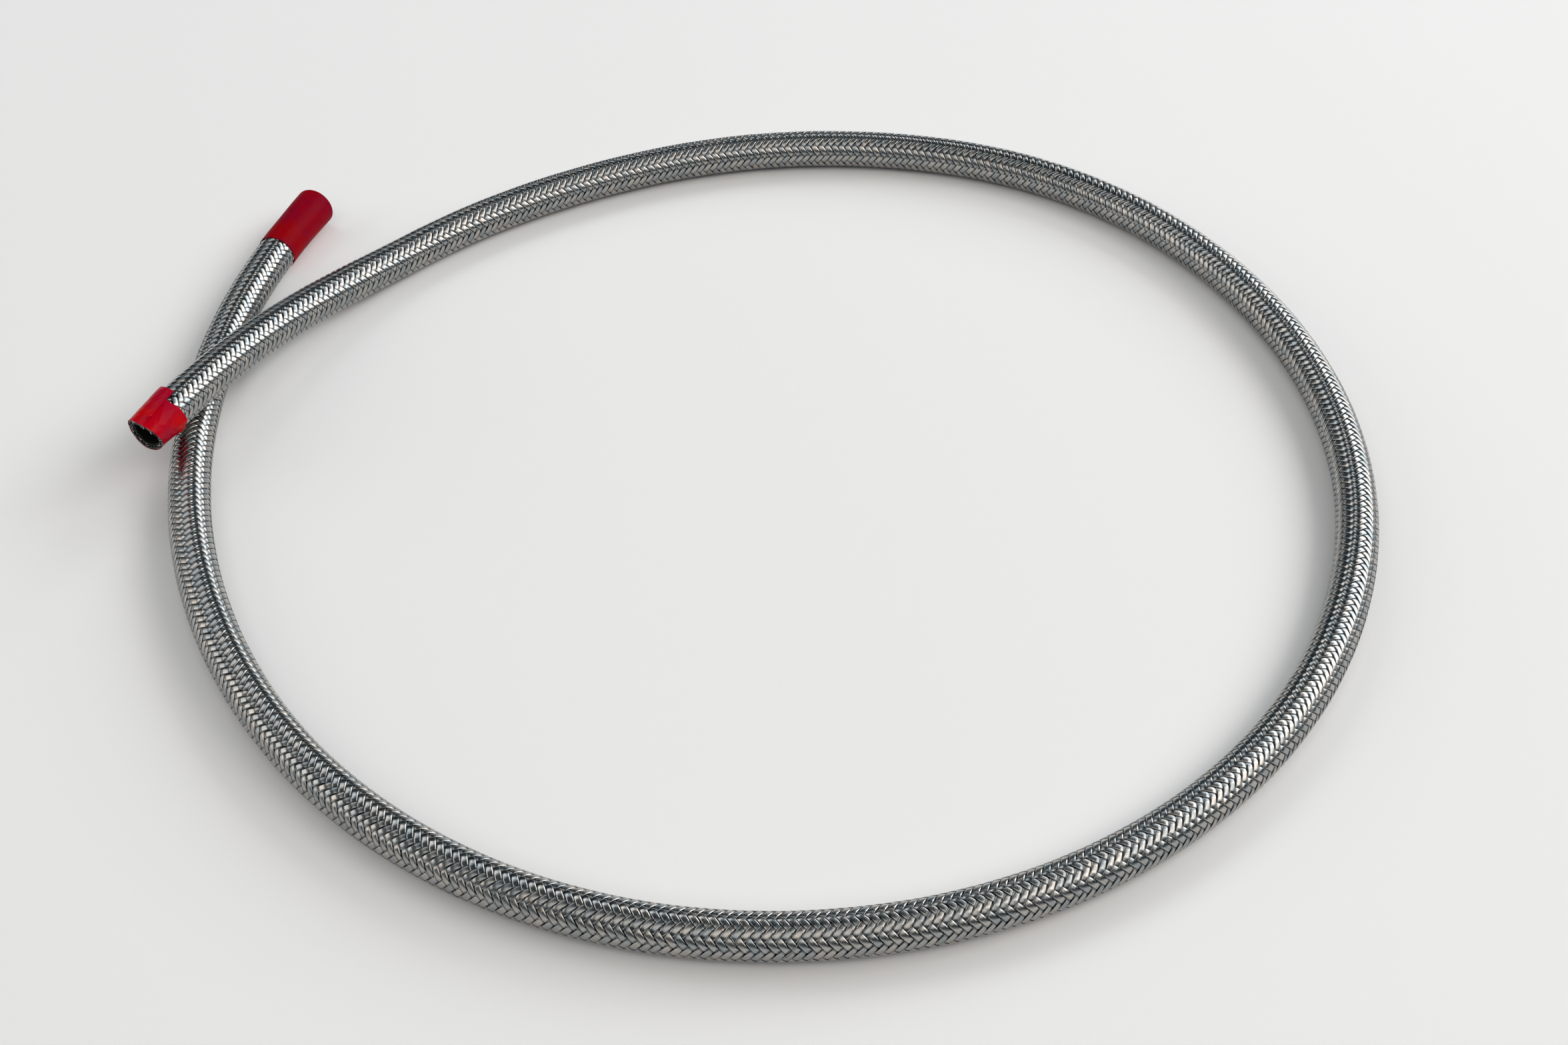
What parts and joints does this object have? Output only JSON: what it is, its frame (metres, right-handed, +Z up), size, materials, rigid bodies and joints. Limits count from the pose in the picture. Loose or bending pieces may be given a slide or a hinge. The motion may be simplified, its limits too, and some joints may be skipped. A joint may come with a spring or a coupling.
{
  "type": "braided fuel hose",
  "caption": "Cut length of steel-braided rubber fuel hose lying in one round loop that crosses itself near an end, both ends bound with red tape.",
  "frame": {"origin": "middle of the bounding box, on the surface the hose lies on", "axes": "+Z up from the surface, both cut ends open along Y: the near end towards -Y, the far end towards +Y"},
  "size_m": [0.5925, 0.5573, 0.0429],
  "materials": {
    "black_rubber": "matt black synthetic rubber",
    "stainless_wire": "woven bright stainless wire",
    "red_tape": "glossy red vinyl tape"
  },
  "bodies": {
    "root": {"rubber_liner": "black_rubber", "steel_braid": "stainless_wire", "near_end_tape": "red_tape", "far_end_tape": "red_tape"}
  },
  "joints": []
}
